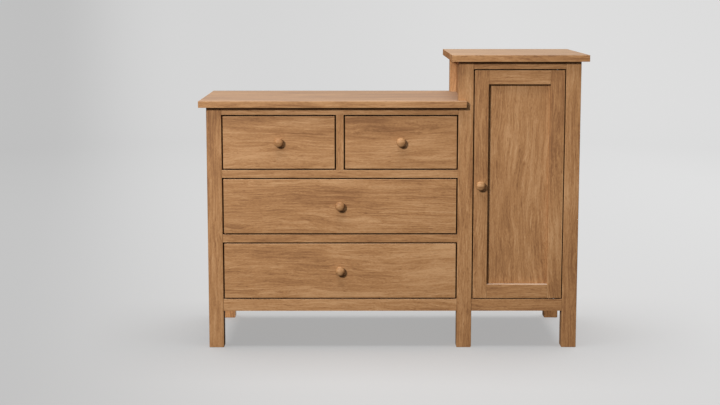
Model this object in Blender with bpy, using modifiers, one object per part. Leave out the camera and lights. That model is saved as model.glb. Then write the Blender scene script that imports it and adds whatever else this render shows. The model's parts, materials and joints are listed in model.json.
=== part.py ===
"""A low chest of four drawers joined to a taller cupboard with one door, all in one wood.

Metres, +Z up, X from left to right, Y from front to back. The origin is on the floor, under the middle
of the whole outline.
"""

import math

import bmesh
import bpy
from mathutils import Vector

# Whole object
CASE_WIDTH = 1.300
CASE_DEPTH = 0.530
LOW_HEIGHT = 0.8754
TALL_HEIGHT = 1.0338
CUPBOARD_OPENING = 0.320
LEG_HEIGHT = 0.132

# Case boards
POST = 0.052
TOP_THICKNESS = 0.0225
TOP_OVERHANG = 0.025
LOW_TOP_LAP = 0.027
PANEL_THICKNESS = 0.028
PANEL_TONGUE = 0.008
BACK_THICKNESS = 0.006
BACK_SETBACK = 0.008
SHELF_THICKNESS = 0.018
SHELF_HEIGHT = 0.560
SHELF_SETBACK = 0.050

# Front frame
TOP_RAIL = 0.0264
RAIL = 0.0274
BOTTOM_RAIL = 0.0422
RAIL_DEPTH = 0.042
RAIL_SETBACK = 0.0008
DIVIDER = 0.0265
TENON_LENGTH = 0.015
DIVIDER_TENON = 0.010
SMALL_OPENING = 0.193
MIDDLE_OPENING = 0.201

# Drawers
DRAWER_REVEAL = 0.0048
FRONT_THICKNESS = 0.020
DRAWER_DEPTH = 0.470
SIDE_THICKNESS = 0.013
BOTTOM_THICKNESS = 0.006
BOTTOM_RAISE = 0.012
BOX_HEADROOM = 0.036
BACK_INSET = 0.010
HOUSING = 0.006
TAILS = 4
TAIL_LENGTH = 0.012
TAIL_SHARE = 0.70
TAIL_SLOPE = 1 / 6
RUNNER_WIDTH = 0.040
RUNNER_DROP = 0.016
RUNNER_PLAY = 0.001

# Door and its fittings
DOOR_REVEAL = 0.004
DOOR_THICKNESS = 0.026
DOOR_FRAME = 0.0492
DOOR_CHAMFER = 0.0022
DOOR_PANEL = 0.006
PANEL_RECESS = 0.017
PIVOT_SETBACK = 0.011
PLATE_LENGTH = 0.030
PLATE_WIDTH = 0.012
PLATE_THICKNESS = 0.0025
PIN_RADIUS = 0.003
PIN_DEPTH = 0.012
COLLAR_RADIUS = 0.0055
CATCH_INSET = 0.055
CATCH_LENGTH = 0.046
CATCH_DEPTH = 0.015
CATCH_HEIGHT = 0.013
STRIKE_THICKNESS = 0.0015

# Knobs
KNOB_RADIUS = 0.0165
KNOB_REACH = 0.028
KNOB_BACK = 0.006
KNOB_NECK = 0.0085
KNOB_FOOT = 0.0105
KNOB_RISE = 0.0018
DOOR_KNOB_INSET = 0.022
SPIGOT_RADIUS = 0.005
SPIGOT_LENGTH = 0.013

# Fits, edges and roundness
FIT_GAP = 0.0003
PAST = 0.002
EASED_EDGE = 0.0014
TOP_EDGE = 0.0006
FINE_EDGE = 0.0005
KNOB_SIDES = 40
CURVE_STEPS = 8
ROUND_SIDES = 32


def collection(name):
    made = bpy.data.collections.new(name)
    bpy.context.scene.collection.children.link(made)
    return made


def material(name, colour, roughness, metallic=0.0):
    made = bpy.data.materials.new(name)
    made.use_nodes = True
    shader = made.node_tree.nodes["Principled BSDF"]
    shader.inputs["Base Color"].default_value = (*colour, 1.0)
    shader.inputs["Roughness"].default_value = roughness
    shader.inputs["Metallic"].default_value = metallic
    return made


def place(name, mesh, home, centre, parent):
    piece = bpy.data.objects.new(name, mesh)
    home.objects.link(piece)
    piece.parent = parent
    piece.location = centre - parent.location if parent else centre
    return piece


def mesh_of(name, shape):
    mesh = bpy.data.meshes.new(name)
    shape.to_mesh(mesh)
    shape.free()
    return mesh


def middle(span):
    return (span[0] + span[1]) / 2


def around(centre, width):
    return (centre - width / 2, centre + width / 2)


def grown(span, by):
    return (span[0] - by, span[1] + by)


def box_mesh(name, box):
    shape = bmesh.new()
    bmesh.ops.create_cube(shape, size=1.0)
    bmesh.ops.scale(shape, vec=[high - low for low, high in box], verts=shape.verts)
    return mesh_of(name, shape)


def box_centre(box):
    return Vector([middle(span) for span in box])


def ease(piece, width):
    bevel = piece.modifiers.new("eased edges", "BEVEL")
    bevel.width = width
    bevel.segments = 1
    bevel.limit_method = "ANGLE"


def board(name, box, wood, parent=None, edge=0.0):
    piece = place(name, box_mesh(name, box), parts, box_centre(box), parent)
    piece.data.materials.append(wood)
    if edge:
        ease(piece, edge)
    return piece


def tool(name, mesh, centre, parent=None):
    made = place(name, mesh, cutters, centre, parent)
    made.hide_render = True
    made.display_type = "WIRE"
    return made


def box_tool(name, box, parent=None):
    return tool(name, box_mesh(name, box), box_centre(box), parent)


def round_tool(name, centre, radius, length, across, parent=None):
    """A cylinder along Z, or along Y when it lies across the front."""
    shape = bmesh.new()
    bmesh.ops.create_cone(
        shape, cap_ends=True, segments=ROUND_SIDES, radius1=radius, radius2=radius, depth=length
    )
    made = tool(name, mesh_of(name, shape), centre, parent)
    if across:
        made.rotation_euler.x = math.pi / 2
    return made


def combine(piece, other, operation):
    change = piece.modifiers.new(other.name, "BOOLEAN")
    change.operation = operation
    change.object = other
    change.solver = "EXACT"


def house(name, box, hosts, parent=None):
    """Cuts the slot that a board or a tongue of this box sits in."""
    slot = box_tool(name + "_slot", [grown(span, FIT_GAP) for span in box], parent)
    for host in hosts:
        combine(host, slot, "DIFFERENCE")


def tongue(piece, box, hosts):
    """Adds the tongues at both ends of a board, as one bar, and cuts their slots."""
    combine(piece, box_tool(piece.name + "_tongue", box, piece.parent), "UNION")
    house(piece.name, box, hosts, piece.parent)


def inset(span, share):
    return grown(span, -(span[1] - span[0]) * share)


def rail(name, x, y, z, hosts, parent=None):
    """A rail between two uprights, with a tenon at each end."""
    piece = board(name, (grown(x, -FIT_GAP), y, z), case_wood, parent, FINE_EDGE)
    tongue(piece, (grown(x, TENON_LENGTH), inset(y, 1 / 3), inset(z, 1 / 4)), hosts)
    return piece


def wedges(name, x, y, heights, tip, root, parent):
    """A row of dovetail shapes, as wide as tip at the front and as root at the back."""
    shape = bmesh.new()
    for height in heights:
        corners = bmesh.ops.create_cube(shape, size=1.0)["verts"]
        for corner in corners:
            width = tip if corner.co.y < 0 else root
            corner.co.x = middle(x) + corner.co.x * (x[1] - x[0])
            corner.co.y = middle(y) + corner.co.y * (y[1] - y[0])
            corner.co.z = height + corner.co.z * width
    return tool(name, mesh_of(name, shape), Vector(), parent)


def knob(name, centre, parent, front):
    """A turned knob with a spigot, and the hole for the spigot in the board behind it."""
    widest = middle((KNOB_BACK, KNOB_REACH))
    rise = KNOB_REACH - widest
    turns = [math.pi / 2 * step / CURVE_STEPS for step in range(CURVE_STEPS + 1)]
    outline = [(KNOB_RADIUS * math.sin(turn), widest + rise * math.cos(turn)) for turn in turns]
    for turn in turns[1:]:
        radius = KNOB_NECK + (KNOB_RADIUS - KNOB_NECK) * math.cos(turn)
        outline.append((radius, widest - rise * math.sin(turn)))
    outline.append((KNOB_NECK, middle((KNOB_BACK, FIT_GAP))))
    outline.append((KNOB_FOOT, FIT_GAP))
    outline.append((SPIGOT_RADIUS, FIT_GAP))
    outline.append((SPIGOT_RADIUS, -SPIGOT_LENGTH))
    outline.append((0.0, -SPIGOT_LENGTH))
    mesh = bpy.data.meshes.new(name)
    points = [(radius, 0.0, height) for radius, height in outline]
    mesh.from_pydata(points, [(end, end + 1) for end in range(len(points) - 1)], [])
    piece = place(name, mesh, parts, centre, parent)
    piece.rotation_euler.x = math.pi / 2
    piece.data.materials.append(case_wood)
    turning = piece.modifiers.new("turning", "SCREW")
    turning.steps = KNOB_SIDES
    turning.render_steps = KNOB_SIDES
    turning.use_merge_vertices = True
    turning.merge_threshold = 0.0001
    depth = SPIGOT_LENGTH + FIT_GAP
    hole_centre = centre + Vector((0.0, (depth - PAST) / 2, 0.0))
    radius = SPIGOT_RADIUS + FIT_GAP
    hole = round_tool(name + "_hole", hole_centre, radius, depth + PAST, True, parent)
    combine(front, hole, "DIFFERENCE")


def empty(name, centre):
    made = bpy.data.objects.new(name, None)
    parts.objects.link(made)
    made.location = centre
    return made


def drawer(name, x, z):
    """One drawer and its runner, for the opening between x and z spans."""
    slide = empty(name + "_slide", Vector((middle(x), y_front, z[0])))
    front_x = grown(x, -DRAWER_REVEAL)
    front_z = grown(z, -DRAWER_REVEAL)
    front_back = y_front + FRONT_THICKNESS
    box_z = (z[0] + FIT_GAP, z[1] - BOX_HEADROOM)
    box_back = y_front + DRAWER_DEPTH
    front = board(name + "_front", (front_x, (y_front, front_back), front_z), case_wood, slide, EASED_EDGE)

    # Sides with half-blind dovetails into the front
    pitch = (box_z[1] - front_z[0]) / TAILS
    tip = pitch * TAIL_SHARE
    root = tip - 2 * TAIL_LENGTH * TAIL_SLOPE
    tail_y = (front_back - TAIL_LENGTH, front_back + FIT_GAP)
    tails = [front_z[0] + pitch * (step + 0.5) for step in range(TAILS)]
    pins = [front_z[0] + pitch * step for step in range(TAILS + 1)]
    inner_x = grown(front_x, -SIDE_THICKNESS)
    sides = []
    for hand, side_x, outward in (
        ("left", (front_x[0], inner_x[0]), (front_x[0] - PAST, inner_x[0] + FIT_GAP)),
        ("right", (inner_x[1], front_x[1]), (inner_x[1] - FIT_GAP, front_x[1] + PAST)),
    ):
        label = f"{name}_side_{hand}"
        side = board(label, (side_x, (tail_y[0], box_back), box_z), box_wood, slide)
        flare = 2 * PAST * TAIL_SLOPE
        between = wedges(
            label + "_pins",
            grown(side_x, PAST),
            (tail_y[0] - PAST, tail_y[1]),
            pins,
            pitch - tip - flare,
            pitch - root,
            slide,
        )
        combine(side, between, "DIFFERENCE")
        sockets = wedges(
            label + "_sockets",
            outward,
            (tail_y[0] - FIT_GAP, tail_y[1] + PAST),
            tails,
            tip + 2 * FIT_GAP,
            root + 2 * FIT_GAP - flare,
            slide,
        )
        combine(front, sockets, "DIFFERENCE")
        sides.append(side)

    # Back and bottom, let into the other boards
    back_y = (box_back - BACK_INSET - SIDE_THICKNESS, box_back - BACK_INSET)
    back_box = (grown(inner_x, HOUSING), back_y, box_z)
    back = board(name + "_back", back_box, box_wood, slide)
    house(name + "_back", back_box, sides, slide)
    bottom_low = box_z[0] + BOTTOM_RAISE
    bottom_y = (front_back - HOUSING, back_y[0] + HOUSING)
    bottom_box = (grown(inner_x, HOUSING), bottom_y, (bottom_low, bottom_low + BOTTOM_THICKNESS))
    board(name + "_bottom", bottom_box, box_wood, slide)
    house(name + "_bottom", bottom_box, [front, back, *sides], slide)

    # Runner under the bottom, and the notch in the drawer's back that it guides
    runner_x = around(middle(x), RUNNER_WIDTH)
    runner_y = (rail_y[1] + FIT_GAP, back_panel_y[0] - FIT_GAP)
    runner_z = (z[0] - RUNNER_DROP, bottom_low - FIT_GAP)
    board(name + "_runner", (runner_x, runner_y, runner_z), box_wood)
    notch_z = (box_z[0] - PAST, runner_z[1] + RUNNER_PLAY)
    notch = box_tool(name + "_notch", (grown(runner_x, RUNNER_PLAY), grown(back_y, PAST), notch_z), slide)
    combine(back, notch, "DIFFERENCE")

    knob(name + "_knob", Vector((middle(x), y_front, middle(z) + KNOB_RISE)), slide, front)


def pivot(name, underside, up, host, stile):
    """A plate let into a rail, with the pin that the door's stile turns on.

    The pin points up from the bottom rail or down from the top one.
    """
    plate_z = sorted((underside, underside - up * PLATE_THICKNESS))
    plate_box = (around(hinge.x, PLATE_LENGTH), around(hinge.y, PLATE_WIDTH), plate_z)
    plate = board(name, plate_box, steel)
    house(name, plate_box, [host])
    reach = DOOR_REVEAL + PIN_DEPTH
    root = PLATE_THICKNESS / 2
    pin_middle = Vector((hinge.x, hinge.y, underside + up * (reach - root) / 2))
    combine(plate, round_tool(name + "_pin", pin_middle, PIN_RADIUS, reach + root, False), "UNION")
    hole_middle = Vector((hinge.x, hinge.y, underside + up * (reach / 2 + FIT_GAP)))
    hole = round_tool(name + "_hole", hole_middle, PIN_RADIUS + FIT_GAP, reach, False, door)
    combine(stile, hole, "DIFFERENCE")
    return plate


for old in list(bpy.data.objects):
    bpy.data.objects.remove(old, do_unlink=True)

parts = collection("tall_dresser")
cutters = collection("cutters")
case_wood = material("case_wood", (0.42, 0.22, 0.10), 0.5)
box_wood = material("box_wood", (0.56, 0.38, 0.21), 0.6)
back_wood = material("back_wood", (0.47, 0.28, 0.14), 0.65)
steel = material("steel", (0.55, 0.54, 0.52), 0.35, 1.0)
magnet_case = material("magnet_case", (0.08, 0.05, 0.035), 0.5)

# Where the posts and openings are
reach = max(TOP_OVERHANG, KNOB_REACH)
x_left = -CASE_WIDTH / 2
x_right = CASE_WIDTH / 2
y_front = (reach - CASE_DEPTH) / 2
y_back = y_front + CASE_DEPTH
left_x = (x_left, x_left + POST)
right_x = (x_right - POST, x_right)
cupboard_x = (right_x[0] - CUPBOARD_OPENING, right_x[0])
middle_x = (cupboard_x[0] - POST, cupboard_x[0])
chest_x = (left_x[1], middle_x[0])
front_y = (y_front, y_front + POST)
back_y = (y_back - POST, y_back)
rail_y = (y_front + RAIL_SETBACK, y_front + RAIL_SETBACK + RAIL_DEPTH)
panel_y = (front_y[1] - PANEL_TONGUE, back_y[0] + PANEL_TONGUE)
back_panel_y = (y_back - BACK_SETBACK - BACK_THICKNESS, y_back - BACK_SETBACK)
low_under = LOW_HEIGHT - TOP_THICKNESS
tall_under = TALL_HEIGHT - TOP_THICKNESS
low_case_top = low_under - FIT_GAP
tall_case_top = tall_under - FIT_GAP

# Where the front's rows are
bottom_rail_z = (LEG_HEIGHT, LEG_HEIGHT + BOTTOM_RAIL)
top_rail_z = (low_under - TOP_RAIL, low_case_top)
small_z = (top_rail_z[0] - SMALL_OPENING, top_rail_z[0])
upper_rail_z = (small_z[0] - RAIL, small_z[0])
middle_z = (upper_rail_z[0] - MIDDLE_OPENING, upper_rail_z[0])
lower_rail_z = (middle_z[0] - RAIL, middle_z[0])
bottom_z = (bottom_rail_z[1], lower_rail_z[0])
tall_rail_z = (tall_under - TOP_RAIL, tall_case_top)

# Posts, all with a leg apart from the middle one at the back
posts = {}
for row, column, x, y, foot, top in (
    ("front", "left", left_x, front_y, 0.0, low_case_top),
    ("front", "middle", middle_x, front_y, 0.0, tall_case_top),
    ("front", "right", right_x, front_y, 0.0, tall_case_top),
    ("back", "left", left_x, back_y, 0.0, low_case_top),
    ("back", "middle", middle_x, back_y, LEG_HEIGHT, tall_case_top),
    ("back", "right", right_x, back_y, 0.0, tall_case_top),
):
    box = (x, y, (foot, top))
    posts[row, column] = board(f"post_{row}_{column}", box, case_wood, edge=EASED_EDGE)

# Side panels between the front and back posts, level with the posts' inner faces
side_panels = {}
for column, x, top in (
    ("left", (left_x[1] - PANEL_THICKNESS, left_x[1]), low_case_top),
    ("middle", (middle_x[1] - PANEL_THICKNESS, middle_x[1]), tall_case_top),
    ("right", (right_x[0], right_x[0] + PANEL_THICKNESS), tall_case_top),
):
    box = (x, panel_y, (LEG_HEIGHT, top))
    side_panels[column] = board(f"side_panel_{column}", box, case_wood)
    house(f"side_panel_{column}", box, [posts["front", column], posts["back", column]])

# Back panels
for name, x, top, columns in (
    ("back_panel_low", chest_x, low_case_top, ("left", "middle")),
    ("back_panel_tall", cupboard_x, tall_case_top, ("middle", "right")),
):
    box = (grown(x, PANEL_TONGUE), back_panel_y, (LEG_HEIGHT, top))
    board(name, box, back_wood)
    house(name, box, [posts["back", column] for column in columns])

# Tops, the low one notched round the middle posts and the panel between them
top_y = (y_front - TOP_OVERHANG, y_back)
low_top_x = (x_left - TOP_OVERHANG, middle_x[0] + LOW_TOP_LAP)
low_top = board("low_top", (low_top_x, top_y, (low_under, LOW_HEIGHT)), case_wood)
notch_z = grown((low_under, LOW_HEIGHT), PAST)
notch_x = (middle_x[0] - FIT_GAP, low_top_x[1] + PAST)
panel_edge_x = (middle_x[1] - PANEL_THICKNESS - FIT_GAP, low_top_x[1] + PAST)
for name, x, y in (
    ("low_top_front_notch", notch_x, grown(front_y, FIT_GAP)),
    ("low_top_panel_edge", panel_edge_x, (front_y[1], back_y[0])),
    ("low_top_back_notch", notch_x, (back_y[0] - FIT_GAP, y_back + PAST)),
):
    combine(low_top, box_tool(name, (x, y, notch_z)), "DIFFERENCE")
ease(low_top, TOP_EDGE)
tall_top_x = (middle_x[0] - TOP_OVERHANG, x_right + TOP_OVERHANG)
board("tall_top", (tall_top_x, top_y, (tall_under, TALL_HEIGHT)), case_wood, edge=TOP_EDGE)

# Front rails and the divider between the small drawers
chest_posts = [posts["front", "left"], posts["front", "middle"]]
cupboard_posts = [posts["front", "middle"], posts["front", "right"]]
top_rail = rail("rail_low_top", chest_x, rail_y, top_rail_z, chest_posts)
upper_rail = rail("rail_low_upper", chest_x, rail_y, upper_rail_z, chest_posts)
rail("rail_low_lower", chest_x, rail_y, lower_rail_z, chest_posts)
rail("rail_low_bottom", chest_x, rail_y, bottom_rail_z, chest_posts)
tall_top_rail = rail("rail_tall_top", cupboard_x, rail_y, tall_rail_z, cupboard_posts)
tall_bottom_rail = rail("rail_tall_bottom", cupboard_x, rail_y, bottom_rail_z, cupboard_posts)
divider_x = around(middle(chest_x), DIVIDER)
divider = board("drawer_divider", (divider_x, rail_y, grown(small_z, -FIT_GAP)), case_wood, edge=FINE_EDGE)
divider_tenon = (inset(divider_x, 1 / 4), inset(rail_y, 1 / 3), grown(small_z, DIVIDER_TENON))
tongue(divider, divider_tenon, [top_rail, upper_rail])

# Cupboard floor and shelf, housed in the panels at both sides
for name, y, z in (
    ("cupboard_floor", rail_y[1] + FIT_GAP, (bottom_rail_z[1] - SHELF_THICKNESS, bottom_rail_z[1])),
    ("cupboard_shelf", y_front + SHELF_SETBACK, (SHELF_HEIGHT, SHELF_HEIGHT + SHELF_THICKNESS)),
):
    box = (grown(cupboard_x, -FIT_GAP), (y, back_panel_y[0] - FIT_GAP), z)
    shelf = board(name, box, case_wood, edge=FINE_EDGE)
    housed = (grown(cupboard_x, HOUSING), grown(panel_y, -2 * PANEL_TONGUE), inset(z, 1 / 4))
    tongue(shelf, housed, [side_panels["middle"], side_panels["right"]])

# Drawers
drawer("drawer_top_left", (chest_x[0], divider_x[0]), small_z)
drawer("drawer_top_right", (divider_x[1], chest_x[1]), small_z)
drawer("drawer_middle", chest_x, middle_z)
drawer("drawer_bottom", chest_x, bottom_z)

# Door, on an upright axis inside its right stile
door_x = grown(cupboard_x, -DOOR_REVEAL)
door_y = (y_front, y_front + DOOR_THICKNESS)
door_z = (bottom_rail_z[1] + DOOR_REVEAL, tall_rail_z[0] - DOOR_REVEAL)
opening_x = grown(door_x, -DOOR_FRAME)
opening_z = grown(door_z, -DOOR_FRAME)
hinge = Vector((middle((opening_x[1], door_x[1])), y_front + PIVOT_SETBACK, 0.0))
door = empty("door_hinge", hinge)
left_box = ((door_x[0], opening_x[0]), door_y, door_z)
right_box = ((opening_x[1], door_x[1]), door_y, door_z)
stile_left = board("door_stile_left", left_box, case_wood, door, FINE_EDGE)
stile_right = board("door_stile_right", right_box, case_wood, door, FINE_EDGE)
stiles = [stile_left, stile_right]
door_rails = [
    rail("door_rail_bottom", opening_x, door_y, (door_z[0], opening_z[0]), stiles, door),
    rail("door_rail_top", opening_x, door_y, (opening_z[1], door_z[1]), stiles, door),
]
door_panel_y = (y_front + PANEL_RECESS, y_front + PANEL_RECESS + DOOR_PANEL)
door_panel = (grown(opening_x, PANEL_TONGUE), door_panel_y, grown(opening_z, PANEL_TONGUE))
board("door_panel", door_panel, case_wood, door)
house("door_panel", door_panel, stiles + door_rails, door)

# Sloped inner edge of the door's frame, cut by a block that narrows towards the panel
shape = bmesh.new()
bmesh.ops.create_cube(shape, size=1.0)
for corner in shape.verts:
    outer = corner.co.y < 0
    flare = DOOR_CHAMFER + PAST if outer else -PAST
    corner.co.x = middle(opening_x) + corner.co.x * (opening_x[1] - opening_x[0] + 2 * flare)
    corner.co.y = y_front - PAST if outer else y_front + DOOR_CHAMFER + PAST
    corner.co.z = middle(opening_z) + corner.co.z * (opening_z[1] - opening_z[0] + 2 * flare)
slope = tool("door_slope", mesh_of("door_slope", shape), Vector(), door)
for piece in stiles + door_rails:
    combine(piece, slope, "DIFFERENCE")
knob("door_knob", Vector((door_x[0] + DOOR_KNOB_INSET, y_front, middle(door_z))), door, stile_left)

# Hidden pivots, with a collar under the door to carry it
pivot("pivot_top", tall_rail_z[0], -1, tall_top_rail, stile_right)
lower_pivot = pivot("pivot_bottom", bottom_rail_z[1], 1, tall_bottom_rail, stile_right)
collar_length = DOOR_REVEAL - FIT_GAP + PLATE_THICKNESS / 2
collar_middle = Vector((hinge.x, hinge.y, door_z[0] - FIT_GAP - collar_length / 2))
combine(lower_pivot, round_tool("pivot_collar", collar_middle, COLLAR_RADIUS, collar_length, False), "UNION")

# Magnet catch under the top rail, which also stops the door
catch_x = (door_x[0] + CATCH_INSET, door_x[0] + CATCH_INSET + CATCH_LENGTH)
strike_y = (door_y[1] + FIT_GAP, door_y[1] + FIT_GAP + STRIKE_THICKNESS)
catch_y = (strike_y[1] + FIT_GAP, strike_y[1] + FIT_GAP + CATCH_DEPTH)
catch_z = (tall_rail_z[0] - FIT_GAP - CATCH_HEIGHT, tall_rail_z[0] - FIT_GAP)
board("catch_magnet", (catch_x, catch_y, catch_z), magnet_case, edge=FINE_EDGE)
strike_z = (catch_z[0], door_z[1] - EASED_EDGE)
board("catch_strike", (catch_x, strike_y, strike_z), steel, door)
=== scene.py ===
"""Looks for the dresser: wood for every board, fittings, floor, light and the photograph's camera."""

import json
import math
import random

import bmesh
import bpy
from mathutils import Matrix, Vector


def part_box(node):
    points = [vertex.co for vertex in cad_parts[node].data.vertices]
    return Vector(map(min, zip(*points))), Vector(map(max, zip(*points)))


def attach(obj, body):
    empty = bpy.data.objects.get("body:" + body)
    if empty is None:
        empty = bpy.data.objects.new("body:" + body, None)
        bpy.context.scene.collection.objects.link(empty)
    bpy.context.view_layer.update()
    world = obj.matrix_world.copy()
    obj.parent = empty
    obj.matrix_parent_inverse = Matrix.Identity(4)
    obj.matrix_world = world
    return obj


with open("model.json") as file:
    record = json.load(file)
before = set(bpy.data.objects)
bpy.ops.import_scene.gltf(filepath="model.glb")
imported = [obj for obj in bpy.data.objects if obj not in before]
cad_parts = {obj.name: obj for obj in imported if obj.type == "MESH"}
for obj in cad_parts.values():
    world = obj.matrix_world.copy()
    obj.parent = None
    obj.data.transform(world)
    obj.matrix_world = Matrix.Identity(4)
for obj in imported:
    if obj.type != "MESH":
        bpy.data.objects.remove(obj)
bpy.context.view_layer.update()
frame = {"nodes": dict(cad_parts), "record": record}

# Camera, fitted to the edges in the photograph
CAMERA_PLACE = (-0.127, -5.300, 1.246)
CAMERA_PITCH = 8.189
CAMERA_YAW = 0.126
FRAME_WIDTH = 720
FOCAL_PIXELS = 1457.5
SENSOR_WIDTH = 36.0

# Light and stage
LIGHT_TARGET = (0.0, 0.0, 0.55)
KEY_PLACE = (-2.44, -5.20, 2.95)
KEY_SIZE = 0.75
KEY_POWER = 315.0
TOP_PLACE = (-0.6, -0.75, 3.7)
TOP_SIZE = 2.6
TOP_POWER = 137.0
TOP_TINT = (0.94, 1.0, 1.08)
REAR_PLACE = (3.6, 5.2, 0.45)
REAR_SIZE = 1.0
REAR_POWER = 260.0
FLOOD_PLACE = (-0.1, 2.0, 13.0)
FLOOD_TARGET = (-0.1, 7.0, 0.0)
FLOOD_SIZE = 11.0
FLOOD_POWER = 1440.0
BOUNCE_PLACE = (0.0, -1.9, 0.06)
BOUNCE_TARGET = (0.0, 0.25, 0.08)
BOUNCE_WIDTH = 1.6
BOUNCE_HEIGHT = 0.1
BOUNCE_POWER = 30.0
BOUNCE_TINT = (1.0, 0.90, 0.76)
WORLD_STRENGTH = 0.10
STAGE_GLOW = 0.455
# Painted light on the stage: brightness of its glow and colour by place along the floor
STAGE_PAINTED_LIGHT = ((-2.4, 0.68), (-1.4, 0.64), (-0.8, 0.79), (-0.2, 0.84), (0.9, 0.825), (3.0, 0.925))
STAGE_SKEW = 0.18
STAGE_SHADE = 0.5
STAGE_ROUGHNESS = 0.9
STAGE_SHEEN = 0.1
STAGE_RADIUS = 11.0
STAGE_HUB = 1.0
SWEEP_RADIUS = 4.0
STAGE_HEIGHT = 9.0
SWEEP_STEPS = 24
STAGE_SIDES = 96

# Woods, from dark latewood to pale streaks, and the fittings
CASE_DARK = (0.240, 0.106, 0.040)
CASE_BASE = (0.383, 0.187, 0.073)
CASE_PALE = (0.510, 0.280, 0.129)
BOX_DARK = (0.400, 0.250, 0.125)
BOX_BASE = (0.560, 0.385, 0.215)
BOX_PALE = (0.680, 0.510, 0.320)
BACK_DARK = (0.300, 0.165, 0.075)
BACK_BASE = (0.400, 0.230, 0.110)
BACK_PALE = (0.490, 0.300, 0.155)
CASE = (CASE_DARK, CASE_BASE, CASE_PALE)
BOX = (BOX_DARK, BOX_BASE, BOX_PALE)
BACK = (BACK_DARK, BACK_BASE, BACK_PALE)
# Pale colour of the painted highlight on upper faces
HIGHLIGHT_COLOUR = (0.76, 0.68, 0.58)
STEEL = (0.40, 0.39, 0.375)
BROWN = (0.075, 0.048, 0.034)

# How the boards differ: run of the grain, tone, painted highlight on upper faces and painted shade on the
# lower ends of some posts
UPRIGHT = ("post", "side_panel", "back_panel", "door_stile", "door_panel", "drawer_divider")
LENGTHWISE = ("runner", "side_left", "side_right")
TONES = {
    "low_top": -0.17,
    "tall_top": 0.0,
    "post_front_left": 0.01,
    "post_front_middle": 0.0,
    "post_front_right": -0.03,
    "post_back_middle": 0.12,
    "rail_low_upper": 0.06,
    "rail_low_bottom": 0.04,
    "rail_tall_bottom": -0.06,
    "drawer_top_left_front": 0.05,
    "drawer_top_right_front": 0.01,
    "drawer_middle_front": 0.04,
    "drawer_bottom_front": 0.03,
    "door_stile_left": 0.0,
    "door_stile_right": -0.08,
}
KNOB_TONE = 0.03
TONE_SPREAD = 0.06
# Painted highlight on upper faces, strongest on the tops and the door's bottom rail
UPWARD_HIGHLIGHTS = {"low_top": 0.15, "tall_top": 0.19, "door_rail_bottom": 0.36}
UPWARD_HIGHLIGHT = 0.10
# Painted shade on the lower ends of these posts, fading out at the height below in metres
LEG_SHADES = {"post_front_left": 0.02, "post_front_middle": 0.12, "post_front_right": 0.08, "post_back_left": 0.10}
LEG_SHADE_RISE = 0.42
SWAY = 0.08
PANEL_SWAY = 0.10

# Finish of the wood, the same on all boards
# Paler edges: partly wear, partly painted highlight
EDGE_WIDTH = 0.0032
EDGE_WEAR_AND_HIGHLIGHT = 0.22
END_STAIN = -0.16
PORE_STAIN = 0.35
WOOD_SHEEN = 0.22
WOOD_RELIEF = 0.0004

# Shading of the solids: points nearer than the weld are one, wider angles in degrees stay sharp
WELD = 0.00001
SHARP_ANGLE = 50.0

# Screws: radii and places in metres
KNOB_SCREW = 0.0042
CATCH_SCREW = 0.0028
PIVOT_SCREW = 0.0021
CATCH_SCREW_INSET = 0.007
PIVOT_SCREW_REACH = 0.0105
PIVOT_PLATE = 0.0025

# A screw's head: sizes as shares of its radius, crease in degrees
SCREW_SIDES = 32
SCREW_RINGS = (0.07, 0.15, 0.23, 0.31, 0.39, 0.47, 0.55, 0.63, 0.73, 0.83, 0.92, 1.0)
SCREW_RIM = 0.12
SCREW_DOME = 0.34
CROSS_WIDTH = 0.16
CROSS_REACH = 0.58
CROSS_DEPTH = 0.26
SCREW_CREASE = 40.0

# Glue block in the corner behind the front middle post
BLOCK_GAP = 0.0002
BLOCK_LAP = 0.004
BLOCK_NOSE = 0.006
BLOCK_DEPTH = 0.020
BLOCK_RISE = 0.030
BLOCK_BEVEL = 0.0008
BLOCK_TONE = -0.1

# How a board turns so that its grain runs along X
TURNS = {
    "X": (0.0, 0.0, 0.0),
    "Y": (0.0, 0.0, -math.pi / 2),
    "Z": (0.0, math.pi / 2, 0.0),
}


def add(tree, kind, inputs=(), **settings):
    """A node with its settings, each input a value or a link."""
    made = tree.nodes.new(kind)
    for key, value in settings.items():
        setattr(made, key, value)
    for key, value in dict(inputs).items():
        if isinstance(value, bpy.types.NodeSocket):
            tree.links.new(value, made.inputs[key])
        else:
            made.inputs[key].default_value = value
    return made


def maths(tree, operation, *values, clamp=False):
    """The result of a Math node."""
    return add(tree, "ShaderNodeMath", enumerate(values), operation=operation, use_clamp=clamp).outputs[0]


def vectors(tree, operation, *values):
    """The result of a Vector Math node."""
    return add(tree, "ShaderNodeVectorMath", enumerate(values), operation=operation).outputs[0]


def noise(tree, vector, stretch, detail=3.0, roughness=0.55):
    """Noise from 0 to 1 around a half, scaled for each axis; X is the way of the grain."""
    scaled = vectors(tree, "MULTIPLY", vector, stretch)
    settings = {"Vector": scaled, "Scale": 1.0, "Detail": detail, "Roughness": roughness}
    return add(tree, "ShaderNodeTexNoise", settings)


def spread(tree, value, low, high, new_low=0.0, new_high=1.0):
    """A value's range eased into a new one."""
    inputs = {"Value": value, "From Min": low, "From Max": high, "To Min": new_low, "To Max": new_high}
    return add(tree, "ShaderNodeMapRange", inputs, interpolation_type="SMOOTHSTEP").outputs[0]


def ramp(tree, value, stops):
    """A value turned to colour by a ramp."""
    made = add(tree, "ShaderNodeValToRGB", {"Fac": value})
    elements = made.color_ramp.elements
    while len(elements) < len(stops):
        elements.new(0.5)
    for element, (position, colour) in zip(elements, stops):
        element.position = position
        element.color = (*colour, 1.0)
    return made.outputs["Color"]


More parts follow.
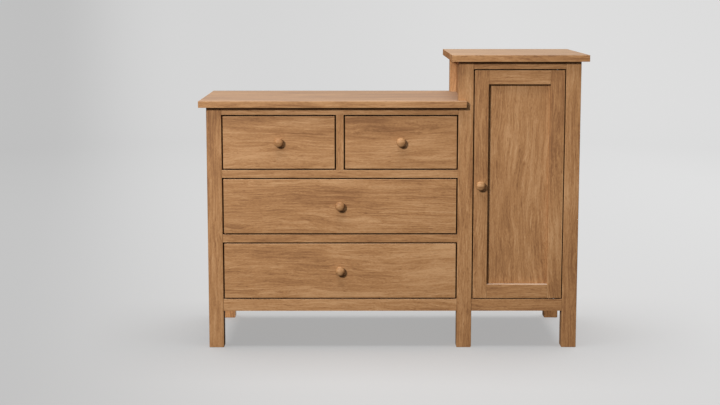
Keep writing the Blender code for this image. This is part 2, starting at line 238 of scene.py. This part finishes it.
def wood(name, box, grain, colours, seed, tone, sway, painted_highlight, leg_shade=0.0):
    """Solid wood: growth rings round a pith, streaks, flecks, pores, paler edges of wear and painted
    highlight, painted highlight on upper faces and painted shade low on some posts.
    """
    draw = random.Random(seed)
    low, high = (Vector(corner) for corner in box)
    made = bpy.data.materials.new(name)
    made.use_nodes = True
    tree = made.node_tree
    shader = tree.nodes["Principled BSDF"]
    coordinates = add(tree, "ShaderNodeTexCoord")
    local = vectors(tree, "SUBTRACT", coordinates.outputs["Object"], (low + high) / 2)
    shift = [draw.uniform(-20.0, 20.0) for _ in range(3)]
    turned = add(tree, "ShaderNodeMapping", {"Vector": local, "Rotation": TURNS[grain]}).outputs[0]
    moved = vectors(tree, "ADD", turned, shift)

    # Slow waves along the grain, which bend all that follows it
    wave = noise(tree, moved, (1.8, 6.0, 6.0), 3.0).outputs["Color"]
    bend = vectors(tree, "MULTIPLY", vectors(tree, "SUBTRACT", wave, (0.5, 0.5, 0.5)), (0.0, sway, sway))
    swayed = vectors(tree, "ADD", moved, bend)

    # Rings, plain in some places and lost in others
    parts = add(tree, "ShaderNodeSeparateXYZ", {"Vector": vectors(tree, "ADD", turned, bend)}).outputs
    side = maths(tree, "MULTIPLY_ADD", parts[0], draw.uniform(-0.05, 0.05), draw.uniform(-0.05, 0.05))
    depth = maths(tree, "MULTIPLY_ADD", parts[0], draw.uniform(0.02, 0.07), draw.uniform(0.06, 0.13))
    across = maths(tree, "POWER", maths(tree, "ADD", parts[1], side), 2.0)
    through = maths(tree, "POWER", maths(tree, "ADD", parts[2], depth), 2.0)
    radius = maths(tree, "SQRT", maths(tree, "ADD", across, through))
    uneven = noise(tree, moved, (0.7, 26.0, 26.0), 2.0).outputs["Fac"]
    years = maths(tree, "DIVIDE", radius, draw.uniform(0.008, 0.012))
    ring = maths(tree, "FRACT", maths(tree, "MULTIPLY_ADD", uneven, 2.2, years))
    plain = spread(tree, noise(tree, moved, (2.5, 12.0, 12.0), 2.0).outputs["Fac"], 0.38, 0.66)
    late = maths(tree, "MULTIPLY", maths(tree, "POWER", ring, 2.0), plain)

    # Clouds, streaks, lines, fibres, short dashes, flecks and pores along the grain
    broad = noise(tree, moved, (0.9, 7.0, 7.0), 2.0).outputs["Fac"]
    cloud = noise(tree, swayed, (3.4, 17.0, 17.0), 3.0).outputs["Fac"]
    streak = noise(tree, swayed, (3.0, 50.0, 50.0), 6.0, 0.68).outputs["Fac"]
    line = noise(tree, swayed, (4.5, 170.0, 170.0), 2.0).outputs["Fac"]
    fibre = noise(tree, swayed, (15.0, 420.0, 420.0), 3.0, 0.65).outputs["Fac"]
    dash = noise(tree, swayed, (110.0, 330.0, 330.0), 2.0).outputs["Fac"]
    fleck = spread(tree, noise(tree, swayed, (30.0, 250.0, 250.0), 2.0).outputs["Fac"], 0.60, 0.76)
    light = spread(tree, noise(tree, swayed, (7.0, 95.0, 95.0), 2.0).outputs["Fac"], 0.58, 0.78)
    pore = spread(tree, noise(tree, swayed, (34.0, 1100.0, 1100.0), 1.0).outputs["Fac"], 0.60, 0.70)
    value = 0.5 + tone
    for layer, centre, weight in (
        (broad, 0.5, 0.85),
        (cloud, 0.5, 0.85),
        (streak, 0.5, 1.15),
        (line, 0.5, 0.85),
        (fibre, 0.5, 0.75),
        (dash, 0.5, 0.60),
        (late, 0.15, -0.24),
        (fleck, 0.10, -0.42),
        (light, 0.10, 0.32),
    ):
        value = maths(tree, "MULTIPLY_ADD", maths(tree, "SUBTRACT", layer, centre), weight, value)

    # Paler edges, partly wear and partly painted highlight: the middle one of the three distances to the
    # board's sides is the distance to an edge
    room = vectors(tree, "SUBTRACT", (high - low) / 2, vectors(tree, "ABSOLUTE", local))
    x, y, z = add(tree, "ShaderNodeSeparateXYZ", {"Vector": room}).outputs
    shorter = maths(tree, "MINIMUM", maths(tree, "MAXIMUM", x, y), z)
    edge = maths(tree, "MAXIMUM", maths(tree, "MINIMUM", x, y), shorter)
    rub = noise(tree, moved, (25.0, 25.0, 25.0), 3.0).outputs["Fac"]
    beside = spread(tree, edge, 0.0, EDGE_WIDTH, 1.0, 0.0)
    worn_and_lit = maths(tree, "MULTIPLY", beside, spread(tree, rub, 0.35, 0.65))
    value = maths(tree, "MULTIPLY_ADD", worn_and_lit, EDGE_WEAR_AND_HIGHLIGHT, value)

    # End grain takes more stain
    ends = add(tree, "ShaderNodeSeparateXYZ", {"Vector": coordinates.outputs["Normal"]}).outputs[grain]
    end_grain = spread(tree, maths(tree, "ABSOLUTE", ends), 0.6, 0.9)
    value = maths(tree, "MULTIPLY_ADD", end_grain, END_STAIN, value)

    # Painted shade: the lower ends of the posts darker towards the floor, where the light falls off
    if leg_shade:
        rise = add(tree, "ShaderNodeSeparateXYZ", {"Vector": coordinates.outputs["Object"]}).outputs["Z"]
        painted_shade = spread(tree, rise, 0.0, LEG_SHADE_RISE, leg_shade, 0.0)
        value = maths(tree, "SUBTRACT", value, painted_shade)

    # Colour, with darker pores
    dark, base, pale = colours
    colour = ramp(tree, value, ((0.08, dark), (0.5, base), (0.95, pale)))
    filled = (*[part * 0.55 for part in dark], 1.0)
    stain = {0: maths(tree, "MULTIPLY", pore, PORE_STAIN), 6: colour, 7: filled}
    pored = add(tree, "ShaderNodeMix", stain, data_type="RGBA")
    colour = pored.outputs[2]

    # Painted highlight: upper faces lighter and paler, as where light from above falls on them
    if painted_highlight:
        upward = add(tree, "ShaderNodeSeparateXYZ", {"Vector": coordinates.outputs["Normal"]}).outputs["Z"]
        highlight_mask = maths(tree, "MULTIPLY", spread(tree, upward, 0.6, 0.9), painted_highlight)
        highlighted = {0: highlight_mask, 6: colour, 7: (*HIGHLIGHT_COLOUR, 1.0)}
        colour = add(tree, "ShaderNodeMix", highlighted, data_type="RGBA").outputs[2]
    tree.links.new(colour, shader.inputs["Base Color"])

    # Satin finish, duller in the pores and end grain
    shader.inputs["Specular IOR Level"].default_value = WOOD_SHEEN
    dull = spread(tree, fibre, 0.2, 0.8, 0.46, 0.62)
    dull = maths(tree, "MULTIPLY_ADD", pore, 0.12, dull)
    dull = maths(tree, "MULTIPLY_ADD", end_grain, 0.10, dull)
    tree.links.new(dull, shader.inputs["Roughness"])
    height = maths(tree, "MULTIPLY_ADD", pore, -0.7, maths(tree, "MULTIPLY_ADD", late, 0.25, fibre))
    relief = add(tree, "ShaderNodeBump", {"Height": height, "Strength": 0.22, "Distance": WOOD_RELIEF})
    tree.links.new(relief.outputs[0], shader.inputs["Normal"])
    return made


def metal(name, colour):
    """Steel with fine brushing and small changes of sheen."""
    made = bpy.data.materials.new(name)
    made.use_nodes = True
    tree = made.node_tree
    shader = tree.nodes["Principled BSDF"]
    place = add(tree, "ShaderNodeTexCoord").outputs["Object"]
    brushed = noise(tree, place, (60.0, 2500.0, 2500.0), 2.0).outputs["Fac"]
    cloudy = noise(tree, place, (90.0, 90.0, 90.0), 3.0).outputs["Fac"]
    shade = maths(tree, "MULTIPLY_ADD", cloudy, 0.5, maths(tree, "MULTIPLY", brushed, 0.5))
    stops = ((0.25, [part * 0.7 for part in colour]), (0.75, [part * 1.15 for part in colour]))
    tree.links.new(ramp(tree, shade, stops), shader.inputs["Base Color"])
    tree.links.new(spread(tree, shade, 0.2, 0.8, 0.42, 0.60), shader.inputs["Roughness"])
    shader.inputs["Metallic"].default_value = 1.0
    relief = add(tree, "ShaderNodeBump", {"Height": brushed, "Strength": 0.15, "Distance": 0.0002})
    tree.links.new(relief.outputs[0], shader.inputs["Normal"])
    return made


def plastic(name, colour):
    """Moulded plastic with a fine spark-eroded grain."""
    made = bpy.data.materials.new(name)
    made.use_nodes = True
    tree = made.node_tree
    shader = tree.nodes["Principled BSDF"]
    place = add(tree, "ShaderNodeTexCoord").outputs["Object"]
    grain = noise(tree, place, (1800.0, 1800.0, 1800.0), 2.0).outputs["Fac"]
    stops = ((0.3, [part * 0.85 for part in colour]), (0.7, [part * 1.2 for part in colour]))
    tree.links.new(ramp(tree, grain, stops), shader.inputs["Base Color"])
    tree.links.new(spread(tree, grain, 0.3, 0.7, 0.45, 0.6), shader.inputs["Roughness"])
    relief = add(tree, "ShaderNodeBump", {"Height": grain, "Strength": 0.3, "Distance": 0.0002})
    tree.links.new(relief.outputs[0], shader.inputs["Normal"])
    return made


def soft_edges():
    """Joins a CAD mesh's triangles and shades its eased edges as rounded ones."""
    tree = bpy.data.node_groups.new("soft_edges", "GeometryNodeTree")
    tree.interface.new_socket("Geometry", in_out="INPUT", socket_type="NodeSocketGeometry")
    tree.interface.new_socket("Geometry", in_out="OUTPUT", socket_type="NodeSocketGeometry")
    start = tree.nodes.new("NodeGroupInput")
    plain = add(tree, "GeometryNodeRemoveAttribute", {"Geometry": start.outputs[0], "Name": "custom_normal"})
    joined = add(tree, "GeometryNodeMergeByDistance", {"Geometry": plain.outputs[0], "Distance": WELD})
    smooth = add(tree, "GeometryNodeSetShadeSmooth", {"Geometry": joined.outputs[0], "Shade Smooth": True})
    angle = add(tree, "GeometryNodeInputMeshEdgeAngle").outputs["Unsigned Angle"]
    limits = {0: angle, 1: math.radians(SHARP_ANGLE)}
    sharp = add(tree, "FunctionNodeCompare", limits, operation="GREATER_THAN")
    creased = add(
        tree,
        "GeometryNodeSetShadeSmooth",
        {"Geometry": smooth.outputs[0], "Selection": sharp.outputs[0], "Shade Smooth": False},
        domain="EDGE",
    )
    end = tree.nodes.new("NodeGroupOutput")
    tree.links.new(creased.outputs[0], end.inputs[0])
    return tree


def new_piece(name, shape, finish):
    """The object that a bmesh becomes, lit like the dresser."""
    mesh = bpy.data.meshes.new(name)
    shape.to_mesh(mesh)
    shape.free()
    mesh.materials.append(finish)
    piece = bpy.data.objects.new(name, mesh)
    bpy.context.scene.collection.objects.link(piece)
    lit.objects.link(piece)
    return piece


def screw(name, body, place, facing, radius):
    """A screw's domed head with a cross recess, standing on the surface at a place."""
    turned = Vector(facing).to_track_quat("Z", "Y").to_matrix()
    shape = bmesh.new()
    rows = []
    for share in (*SCREW_RINGS, 1.0):
        base = len(rows) == len(SCREW_RINGS)
        row = []
        for side in range(SCREW_SIDES):
            turn = math.tau * side / SCREW_SIDES
            x = share * math.cos(turn)
            y = share * math.sin(turn)
            height = 0.0 if base else SCREW_RIM + SCREW_DOME * (1 - share**3)
            near, far = sorted((abs(x), abs(y)))
            if near < CROSS_WIDTH and far < CROSS_REACH:
                height -= CROSS_DEPTH
            row.append(shape.verts.new(Vector(place) + turned @ Vector((x, y, height)) * radius))
        rows.append(row)
    for inner, outer in zip(rows, rows[1:]):
        for side in range(SCREW_SIDES):
            after = (side + 1) % SCREW_SIDES
            shape.faces.new((inner[side], outer[side], outer[after], inner[after]))
    shape.faces.new(rows[0])
    shape.faces.new(reversed(rows[-1]))
    piece = new_piece(name, shape, steel)
    piece.data.shade_smooth()
    piece.data.set_sharp_from_angle(angle=math.radians(SCREW_CREASE))
    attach(piece, body)


def glue_block(name, post_x, panel_x, back, heights, finish):
    """A block in the corner between a post's back and a side panel, with its free edge planed off."""
    lap = post_x - BLOCK_LAP
    outline = ((panel_x, back), (lap, back), (lap, back + BLOCK_NOSE), (panel_x, back + BLOCK_DEPTH))
    shape = bmesh.new()
    rings = [[shape.verts.new((x, y, z)) for x, y in outline] for z in heights]
    for ring in rings:
        shape.faces.new(ring)
    for side in range(len(outline)):
        after = (side + 1) % len(outline)
        shape.faces.new((rings[0][side], rings[0][after], rings[1][after], rings[1][side]))
    bmesh.ops.recalc_face_normals(shape, faces=shape.faces[:])
    bmesh.ops.bevel(shape, geom=shape.edges[:], offset=BLOCK_BEVEL, segments=2, profile=0.5, affect="EDGES")
    piece = new_piece(name, shape, finish)
    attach(piece, "carcass")


def aim(item, target):
    """Turns a lamp to its target."""
    item.rotation_euler = (Vector(target) - item.location).to_track_quat("-Z", "Y").to_euler()


def area_light(name, place, target, size, power):
    """A square lamp that the camera does not see."""
    lamp = bpy.data.lights.new(name, "AREA")
    lamp.size = size
    lamp.energy = power
    item = bpy.data.objects.new(name, lamp)
    bpy.context.scene.collection.objects.link(item)
    item.location = place
    item.visible_camera = False
    aim(item, target)
    return item


# The camera
lens = bpy.data.cameras.new("camera")
lens.sensor_width = SENSOR_WIDTH
lens.lens = SENSOR_WIDTH * FOCAL_PIXELS / FRAME_WIDTH
camera = bpy.data.objects.new("camera", lens)
bpy.context.scene.collection.objects.link(camera)
camera.location = CAMERA_PLACE
camera.rotation_euler = (math.radians(90.0 - CAMERA_PITCH), 0.0, math.radians(-CAMERA_YAW))
bpy.context.scene.camera = camera
bpy.context.scene.view_settings.view_transform = "Standard"

# Stage: a round pale floor that curves up into a wall on all sides, glowing, with painted light that
# brightens towards the right
profile = [(STAGE_HUB, 0.0)]
for step in range(SWEEP_STEPS + 1):
    turn = math.pi / 2 * step / SWEEP_STEPS
    out = STAGE_RADIUS - SWEEP_RADIUS + SWEEP_RADIUS * math.sin(turn)
    profile.append((out, SWEEP_RADIUS * (1 - math.cos(turn))))
profile.append((STAGE_RADIUS, STAGE_HEIGHT))
turns = [math.tau * side / STAGE_SIDES for side in range(STAGE_SIDES)]
points = [(out * math.cos(turn), out * math.sin(turn), up) for out, up in profile for turn in turns]
faces = [tuple(range(STAGE_SIDES))]
for row in range(len(profile) - 1):
    for side in range(STAGE_SIDES):
        first = row * STAGE_SIDES + side
        after = row * STAGE_SIDES + (side + 1) % STAGE_SIDES
        faces.append((first, first + STAGE_SIDES, after + STAGE_SIDES, after))
sheet = bpy.data.meshes.new("stage")
sheet.from_pydata(points, [], faces)
sheet.shade_smooth()
stage = bpy.data.objects.new("stage", sheet)
bpy.context.scene.collection.objects.link(stage)
paper = bpy.data.materials.new("stage_paper")
paper.use_nodes = True
shader = paper.node_tree.nodes["Principled BSDF"]
shader.inputs["Roughness"].default_value = STAGE_ROUGHNESS
shader.inputs["Specular IOR Level"].default_value = STAGE_SHEEN
shader.inputs["Emission Strength"].default_value = STAGE_GLOW
position = add(paper.node_tree, "ShaderNodeTexCoord").outputs["Object"]
x, y = add(paper.node_tree, "ShaderNodeSeparateXYZ", {"Vector": position}).outputs[:2]
along = maths(paper.node_tree, "MULTIPLY_ADD", y, STAGE_SKEW, x)
first, last = STAGE_PAINTED_LIGHT[0][0], STAGE_PAINTED_LIGHT[-1][0]
beyond = maths(paper.node_tree, "SUBTRACT", along, first)
share = maths(paper.node_tree, "DIVIDE", beyond, last - first, clamp=True)
stops = [((place - first) / (last - first), (tone, tone, tone)) for place, tone in STAGE_PAINTED_LIGHT]
painted_light = ramp(paper.node_tree, share, stops)
painted_light.node.color_ramp.interpolation = "B_SPLINE"
shade = vectors(paper.node_tree, "MULTIPLY", painted_light, (STAGE_SHADE, STAGE_SHADE, STAGE_SHADE))
paper.node_tree.links.new(shade, shader.inputs["Base Color"])
paper.node_tree.links.new(painted_light, shader.inputs["Emission Color"])
sheet.materials.append(paper)
stage.visible_diffuse = False
stage.visible_glossy = False
stage.visible_shadow = False

# Light: lamps for the dresser alone, so that they throw no shadow on the stage, and one for the stage
lit = bpy.data.collections.new("lit")
behind = bpy.data.collections.new("behind")
back_legs = bpy.data.collections.new("back_legs")
for name, item in frame["nodes"].items():
    lit.objects.link(item)
    if name not in ("post_front_left", "post_front_middle"):
        behind.objects.link(item)
    if name in ("post_back_left", "post_back_right"):
        back_legs.objects.link(item)
backdrop = bpy.data.collections.new("backdrop")
backdrop.objects.link(stage)
key = area_light("key", KEY_PLACE, LIGHT_TARGET, KEY_SIZE, KEY_POWER)
key.light_linking.receiver_collection = lit
overhead = area_light("overhead", TOP_PLACE, LIGHT_TARGET, TOP_SIZE, TOP_POWER)
overhead.light_linking.receiver_collection = lit
overhead.data.color = TOP_TINT
rear = area_light("rear_fill", REAR_PLACE, LIGHT_TARGET, REAR_SIZE, REAR_POWER)
rear.light_linking.receiver_collection = behind
flood = area_light("stage_flood", FLOOD_PLACE, FLOOD_TARGET, FLOOD_SIZE, FLOOD_POWER)
flood.light_linking.receiver_collection = backdrop
bounce = area_light("floor_bounce", BOUNCE_PLACE, BOUNCE_TARGET, BOUNCE_WIDTH, BOUNCE_POWER)
bounce.data.shape = "RECTANGLE"
bounce.data.size_y = BOUNCE_HEIGHT
bounce.data.color = BOUNCE_TINT
bounce.light_linking.receiver_collection = back_legs
world = bpy.data.worlds.new("world")
bpy.context.scene.world = world
world.use_nodes = True
world.node_tree.nodes["Background"].inputs["Color"].default_value = (1.0, 1.0, 1.0, 1.0)
world.node_tree.nodes["Background"].inputs["Strength"].default_value = WORLD_STRENGTH

# Wood for each board
slots = {item["node"]: item["material_slot"] for item in frame["record"]["subparts"]}
palettes = {"case_wood": CASE, "box_wood": BOX, "back_wood": BACK}
steel = metal("steel_brushed", STEEL)
brown_plastic = plastic("catch_plastic", BROWN)
shading = soft_edges()
for index, (name, item) in enumerate(sorted(frame["nodes"].items())):
    modifier = item.modifiers.new("soft edges", "NODES")
    modifier.node_group = shading
    item.modifiers.new("normals", "WEIGHTED_NORMAL").keep_sharp = True
    slot = slots[name]
    if slot == "steel":
        item.data.materials[0] = steel
    elif slot == "magnet_case":
        item.data.materials[0] = brown_plastic
    else:
        if name.startswith(UPRIGHT):
            grain = "Z"
        elif name.endswith(LENGTHWISE):
            grain = "Y"
        else:
            grain = "X"
        tone = TONES.get(name, random.Random(index).uniform(-TONE_SPREAD, TONE_SPREAD))
        sway = PANEL_SWAY if name == "door_panel" else SWAY
        painted_highlight = UPWARD_HIGHLIGHTS.get(name, UPWARD_HIGHLIGHT)
        if name.endswith("_knob"):
            tone = KNOB_TONE
            painted_highlight = 0.0
        leg_shade = LEG_SHADES.get(name, 0.0)
        finish = wood(f"{name}_wood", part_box(name), grain, palettes[slot], index, tone, sway, painted_highlight, leg_shade)
        item.data.materials[0] = finish

# Screws: one from inside through each front into its knob, two in the catch and two in each pivot plate
for body in ("drawer_top_left", "drawer_top_right", "drawer_middle", "drawer_bottom", "door"):
    front = "door_stile_left" if body == "door" else f"{body}_front"
    low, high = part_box(f"{body}_knob")
    place = ((low[0] + high[0]) / 2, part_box(front)[1][1], (low[2] + high[2]) / 2)
    screw(f"{body}_knob_screw", body, place, (0.0, 1.0, 0.0), KNOB_SCREW)
low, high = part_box("catch_magnet")
for hand, x in (("left", low[0] + CATCH_SCREW_INSET), ("right", high[0] - CATCH_SCREW_INSET)):
    place = (x, (low[1] + high[1]) / 2, low[2])
    screw(f"catch_magnet_screw_{hand}", "carcass", place, (0.0, 0.0, -1.0), CATCH_SCREW)
for node, up in (("pivot_bottom", 1.0), ("pivot_top", -1.0)):
    low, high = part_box(node)
    face = low[2] + PIVOT_PLATE if up > 0 else high[2] - PIVOT_PLATE
    for hand, offset in (("left", -PIVOT_SCREW_REACH), ("right", PIVOT_SCREW_REACH)):
        place = ((low[0] + high[0]) / 2 + offset, (low[1] + high[1]) / 2, face)
        screw(f"{node}_screw_{hand}", "carcass", place, (0.0, 0.0, up), PIVOT_SCREW)

# Glue block beside the bottom drawer, between the front middle post and the panel behind it
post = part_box("post_front_middle")
block_wood = wood("glue_block_wood", post, "Z", BOX, len(frame["nodes"]), BLOCK_TONE, SWAY, UPWARD_HIGHLIGHT)
heights = (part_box("rail_low_bottom")[0][2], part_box("drawer_bottom_front")[0][2] + BLOCK_RISE)
panel_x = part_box("side_panel_middle")[0][0] - BLOCK_GAP
glue_block("glue_block", post[0][0], panel_x, post[1][1] + BLOCK_GAP, heights, block_wood)
